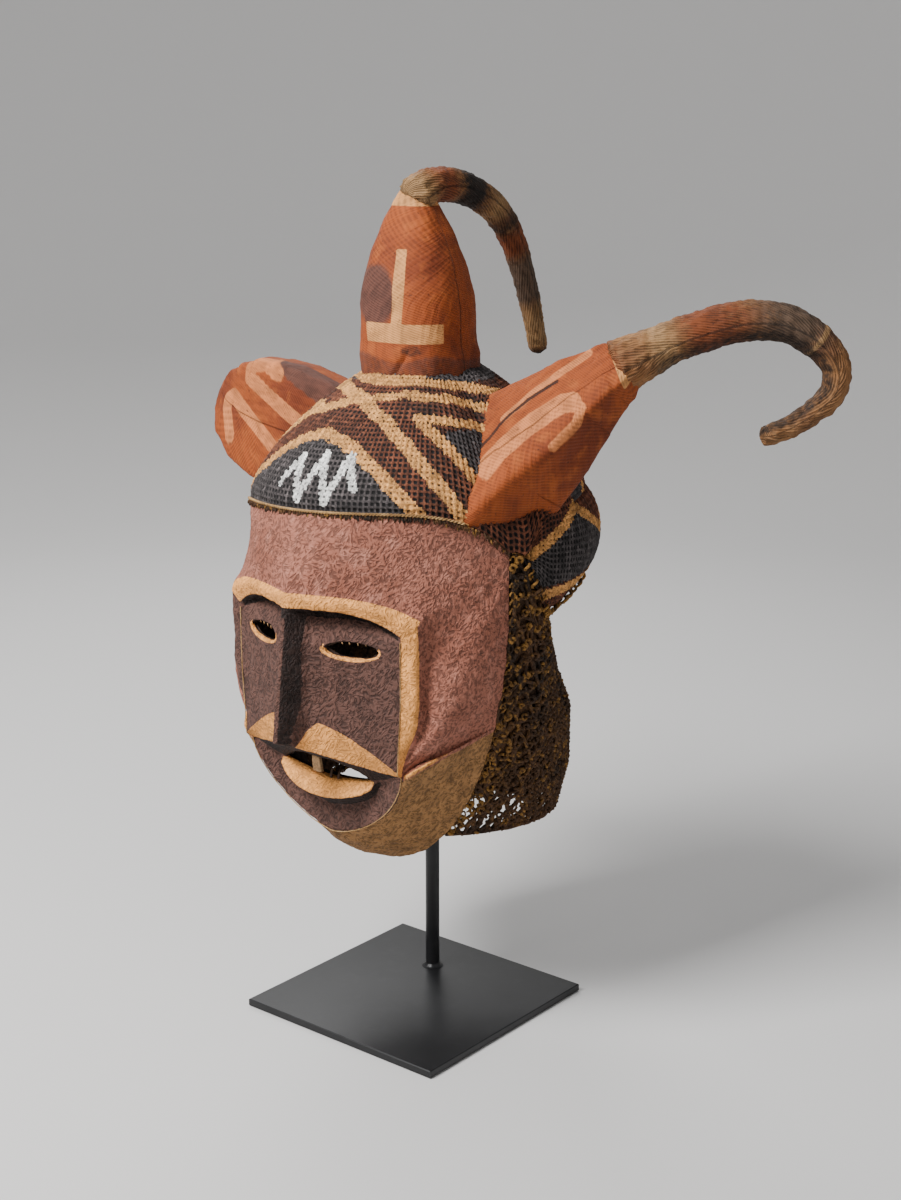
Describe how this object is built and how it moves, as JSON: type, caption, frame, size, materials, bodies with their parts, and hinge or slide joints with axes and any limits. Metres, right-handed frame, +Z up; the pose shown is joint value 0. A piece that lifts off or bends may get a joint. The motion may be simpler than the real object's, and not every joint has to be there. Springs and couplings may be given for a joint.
{
  "type": "helmet mask on display stand",
  "caption": "Hollow bark-cloth helmet mask with a woven cap, net back, cloth lobes and curled horns, held on a square plate by a round rod.",
  "frame": {"origin": "centre of the plate's underside", "axes": "+Z up along the rod, the mask looks along -Y, +X to the viewer's right when facing the mask"},
  "size_m": [0.5489, 0.3419, 0.693],
  "materials": {
    "bark_cloth": "matte",
    "woven_cap": "matte",
    "net": "matte",
    "lobe_cloth": "matte",
    "horn_cloth": "matte",
    "cord": "matte",
    "tooth": "matte",
    "black_steel": "satin"
  },
  "bodies": {
    "root": {"base_plate": "black_steel", "stand_rod": "black_steel", "face_shell": "bark_cloth", "tooth": "tooth", "cap": "woven_cap", "hem_cord": "cord", "net_hood": "net", "lobe_top": "lobe_cloth", "lobe_right": "lobe_cloth", "lobe_left": "lobe_cloth", "horn_top": "horn_cloth", "horn_right": "horn_cloth"}
  },
  "joints": []
}
